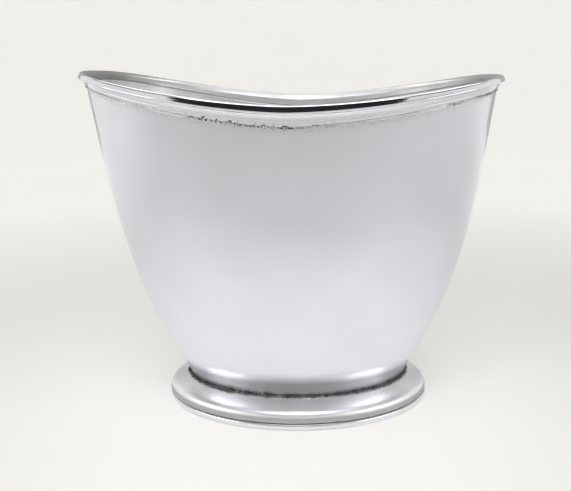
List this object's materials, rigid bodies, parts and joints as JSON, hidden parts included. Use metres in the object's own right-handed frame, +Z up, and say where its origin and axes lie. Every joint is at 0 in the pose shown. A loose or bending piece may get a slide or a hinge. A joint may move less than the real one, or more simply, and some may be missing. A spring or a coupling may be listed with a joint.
{
  "type": "champagne bucket",
  "caption": "Oval footed bucket in polished silver, saddle-shaped flared rim over a low soldered band, spreading moulded foot, no handles.",
  "frame": {"origin": "middle of the footprint, on the surface the foot ring stands on", "axes": "+X along the long axis of the oval, +Y across it, +Z up"},
  "size_m": [0.32, 0.224, 0.2725],
  "materials": {
    "body": "polished silver with a soft lavender-grey cast, fine hand-polishing marks",
    "inside": "satin, brushed and lightly tarnished",
    "rim": "high polish",
    "bead": "polished, pitted along its lower edge",
    "foot": "high polish",
    "solder": "rough, pitted, darkened"
  },
  "bodies": {
    "root": {"body_wall": "body", "floor_plate": "inside", "floor_solder": "solder", "rim_lip": "rim", "rim_bead": "bead", "rim_solder": "solder", "foot_moulding": "foot", "foot_ring": "foot", "foot_solder": "solder"}
  },
  "joints": []
}
